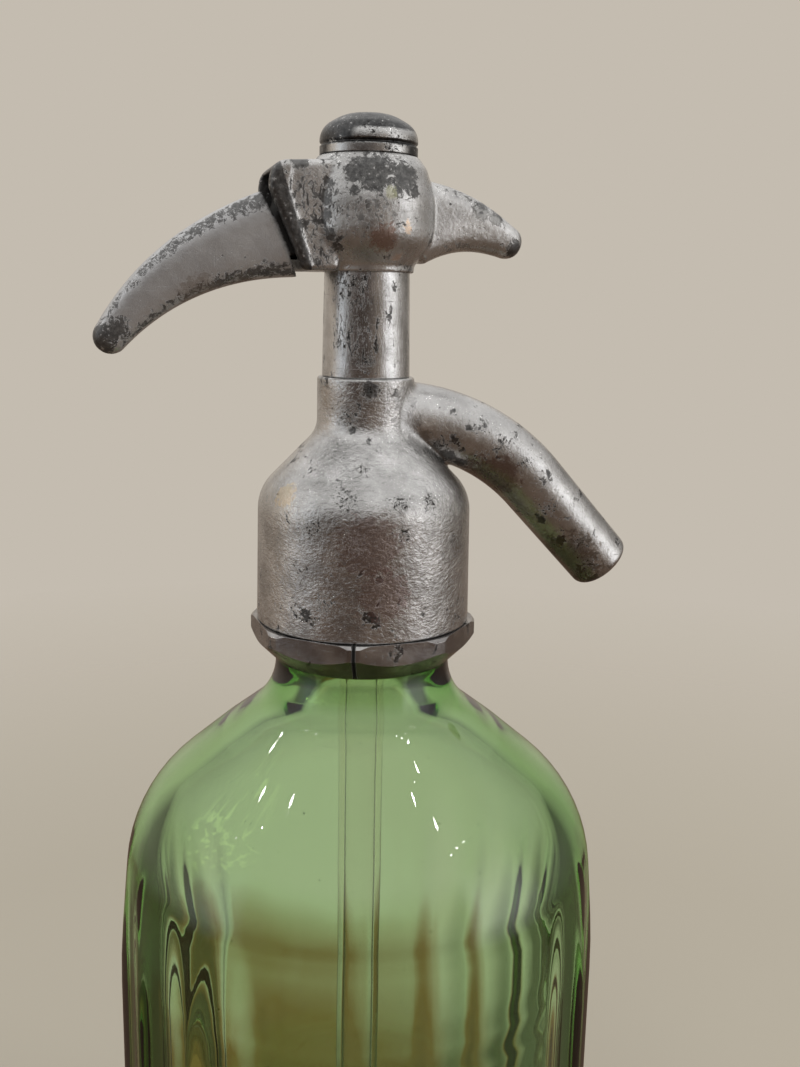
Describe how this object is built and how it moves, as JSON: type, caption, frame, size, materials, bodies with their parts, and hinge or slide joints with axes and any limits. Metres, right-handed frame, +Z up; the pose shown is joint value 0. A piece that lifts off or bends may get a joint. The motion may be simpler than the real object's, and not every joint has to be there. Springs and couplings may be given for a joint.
{
  "type": "soda siphon",
  "caption": "Soda siphon: a thick fluted green glass bottle under a cast metal head with a hand lever that lifts a sprung valve, and a bent spout.",
  "frame": {"origin": "centre of the foot ring, on the surface that the bottle stands on", "axes": "+Z up along the bottle, +X towards the spout, -X towards the lever, -Y a smooth front panel"},
  "size_m": [0.1174, 0.109, 0.3116],
  "materials": {
    "green_glass": "clear, thick, pressed",
    "tube_glass": "clear drawn tube",
    "cast_pewter": "worn bright plating over grey cast pewter, pitted",
    "lever_pewter": "satin, handled, plating worn dark along the edges",
    "plated_column": "bright, scratched",
    "plated_ring": "bright, worn facets",
    "brass": "turned, dull",
    "spring_steel": "drawn wire",
    "rubber": "matt",
    "leather": "greased"
  },
  "bodies": {
    "siphon": {"glass_bottle": "green_glass", "split_ring_left": "plated_ring", "split_ring_right": "plated_ring", "neck_gasket": "rubber", "tube_holder": "cast_pewter", "head_gasket": "rubber", "tube_sleeve": "rubber", "dip_tube": "tube_glass", "head_bell": "cast_pewter", "spout": "cast_pewter", "valve_seat": "brass", "column_tube": "plated_column", "lever_housing": "cast_pewter", "finger_horn": "cast_pewter", "top_cap": "cast_pewter", "cap_washer": "leather", "return_spring": "spring_steel"},
    "hand_lever": {"lever": "lever_pewter"},
    "piston": {"piston_rod": "brass", "valve_washer": "rubber", "valve_screw": "brass", "cup_washer": "leather", "packing_nut": "brass", "spring_washer": "brass"}
  },
  "joints": [
    {"name": "lever_hinge", "type": "hinge", "parent": "siphon", "child": "hand_lever", "pos_m": [-0.0136, 0, 0.2831], "axis": [0, -1, 0], "range_deg": [0, 13]},
    {"name": "piston_slide", "type": "slide", "parent": "siphon", "child": "piston", "axis": [0, 0, 1], "range_m": [0, 0.00293], "stiffness_N_per_m": 150, "springref_m": -0.01, "deforming": ["return_spring"]}
  ],
  "couplings": [
    {"joint": "lever_hinge", "follows": "piston_slide", "rad_per_m": 77.519}
  ]
}
